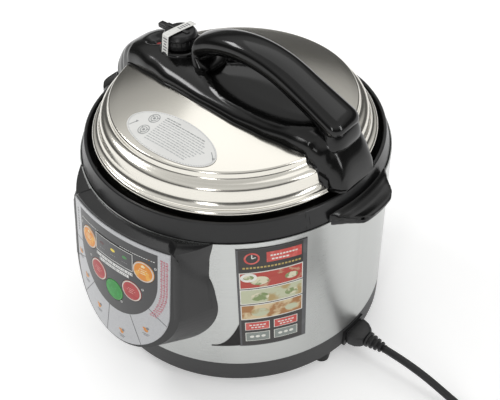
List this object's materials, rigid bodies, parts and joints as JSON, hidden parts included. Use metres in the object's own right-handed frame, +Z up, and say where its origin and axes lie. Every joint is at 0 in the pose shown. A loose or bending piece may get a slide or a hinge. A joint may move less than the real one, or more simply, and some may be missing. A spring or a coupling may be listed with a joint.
{
  "type": "electric pressure cooker",
  "caption": "Round countertop electric pressure cooker: steel body, sloping front control panel, stepped lid with arched grip and steam valve, lift-out pot and detachable lead.",
  "frame": {"origin": "on the pot's axis, in the plane that the feet stand on", "axes": "+Z up along the pot's axis, control panel towards -Y, side handles along X, appliance inlet at +X"},
  "size_m": [0.5025, 0.2981, 0.287],
  "materials": {
    "charcoal_plastic": "fine-textured charcoal",
    "black_gloss": "polished black",
    "black_satin": "satin black",
    "sleeve_steel": "satin stainless",
    "lid_steel": "polished stainless",
    "inner_steel": "brushed stainless",
    "cast_aluminium": "as cast",
    "zinc_screw": "zinc plated",
    "rubber_black": "matt",
    "silicone": "translucent white",
    "red_silicone": "matt",
    "board_green": "solder mask",
    "dark_parts": "moulded",
    "ceramic_white": "unglazed",
    "overlay_print": "printed film",
    "label_print": "printed film",
    "label_white": "printed film",
    "paper_white": "plain paper",
    "smoked_window": "smoked",
    "lamp_lens": "tinted lens",
    "key_orange": "printed film",
    "key_red": "printed film",
    "key_green": "printed film",
    "cord_pvc": "soft PVC"
  },
  "bodies": {
    "cooker": {"feet": "rubber_black", "foot_screws": "zinc_screw", "base_ring": "charcoal_plastic", "bottom_cover": "charcoal_plastic", "cover_screws": "zinc_screw", "outer_sleeve": "sleeve_steel", "sleeve_label": "label_print", "collar_front": "black_satin", "collar_rear": "black_satin", "handle_right_top": "black_gloss", "handle_right_base": "black_satin", "handle_left_top": "black_gloss", "handle_left_base": "black_satin", "handle_screws": "zinc_screw", "pot_housing": "inner_steel", "heating_plate": "cast_aluminium", "heating_element": "inner_steel", "sensor_spring": "inner_steel", "sensor_bracket": "inner_steel", "pressure_switch": "ceramic_white", "thermal_fuse": "ceramic_white", "power_board": "board_green", "board_posts": "charcoal_plastic", "panel_housing": "black_gloss", "panel_overlay": "overlay_print", "display_window": "smoked_window", "indicator_lights": "lamp_lens", "control_board": "board_green", "board_screws": "zinc_screw", "tact_switches": "dark_parts", "power_inlet": "black_satin"},
    "pot": {"inner_pot": "cast_aluminium"},
    "lid_centre": {"lid_nut": "inner_steel"},
    "lid": {"lid_shell": "lid_steel", "lid_gasket": "silicone", "gasket_plate": "inner_steel", "anti_block_cap": "inner_steel", "lid_bridge": "black_gloss", "lid_grip": "black_gloss", "bridge_screws": "zinc_screw", "steam_valve_stem": "inner_steel", "interlock_spring": "inner_steel", "lid_label": "label_white"},
    "valve_knob": {"steam_valve_knob": "black_satin", "valve_strip": "paper_white"},
    "float_pin": {"float_valve": "red_silicone", "float_seal": "silicone"},
    "lock_rod": {"interlock_rod": "inner_steel"},
    "sensor": {"sensor_cap": "inner_steel"},
    "power_lead": {"cord_connector": "cord_pvc", "cord": "cord_pvc", "cord_coil": "cord_pvc", "mains_plug": "cord_pvc"},
    "button_upper_left": {"key_upper_left": "key_orange"},
    "button_upper_right": {"key_upper_right": "key_orange"},
    "button_lower_left": {"key_lower_left": "key_red"},
    "button_lower_right": {"key_lower_right": "key_red"},
    "button_start": {"key_start": "key_green"}
  },
  "joints": [
    {"name": "lid_lift", "type": "slide", "parent": "cooker", "child": "lid_centre", "axis": [0, 0, 1], "range_m": [0, 0.33]},
    {"name": "lid_turn", "type": "hinge", "parent": "lid_centre", "child": "lid", "pos_m": [0, 0, 0.19], "axis": [0, 0, 1], "range_deg": [0, 22]},
    {"name": "pot_lift", "type": "slide", "parent": "cooker", "child": "pot", "axis": [0, 0, 1], "range_m": [0, 0.165]},
    {"name": "steam_valve_turn", "type": "hinge", "parent": "lid", "child": "valve_knob", "pos_m": [-0.058, 0, 0.25], "axis": [0, 0, 1], "range_deg": [-30, 30]},
    {"name": "float_valve_rise", "type": "slide", "parent": "lid", "child": "float_pin", "axis": [0, 0, 1], "range_m": [0, 0.004]},
    {"name": "interlock_slide", "type": "slide", "parent": "lid", "child": "lock_rod", "axis": [1, 0, 0], "range_m": [0, 0.003]},
    {"name": "sensor_travel", "type": "slide", "parent": "cooker", "child": "sensor", "axis": [0, 0, 1], "range_m": [-0.002, 0], "stiffness_N_per_m": 400},
    {"name": "lead_unplug", "type": "slide", "parent": "cooker", "child": "power_lead", "axis": [1, 0, 0], "range_m": [0, 0.02]},
    {"name": "key_upper_left_press", "type": "slide", "parent": "cooker", "child": "button_upper_left", "axis": [0, 0.9903, -0.1392], "range_m": [0, 0.001], "stiffness_N_per_m": 600},
    {"name": "key_upper_right_press", "type": "slide", "parent": "cooker", "child": "button_upper_right", "axis": [0, 0.9903, -0.1392], "range_m": [0, 0.001], "stiffness_N_per_m": 600},
    {"name": "key_lower_left_press", "type": "slide", "parent": "cooker", "child": "button_lower_left", "axis": [0, 0.9903, -0.1392], "range_m": [0, 0.001], "stiffness_N_per_m": 600},
    {"name": "key_lower_right_press", "type": "slide", "parent": "cooker", "child": "button_lower_right", "axis": [0, 0.9903, -0.1392], "range_m": [0, 0.001], "stiffness_N_per_m": 600},
    {"name": "key_start_press", "type": "slide", "parent": "cooker", "child": "button_start", "axis": [0, 0.9903, -0.1392], "range_m": [0, 0.001], "stiffness_N_per_m": 600}
  ],
  "couplings": [
    {"joint": "pot_lift", "follows": "lid_lift", "ratio": 0.5},
    {"joint": "interlock_slide", "follows": "lid_turn", "m_per_rad": 0.007813}
  ]
}
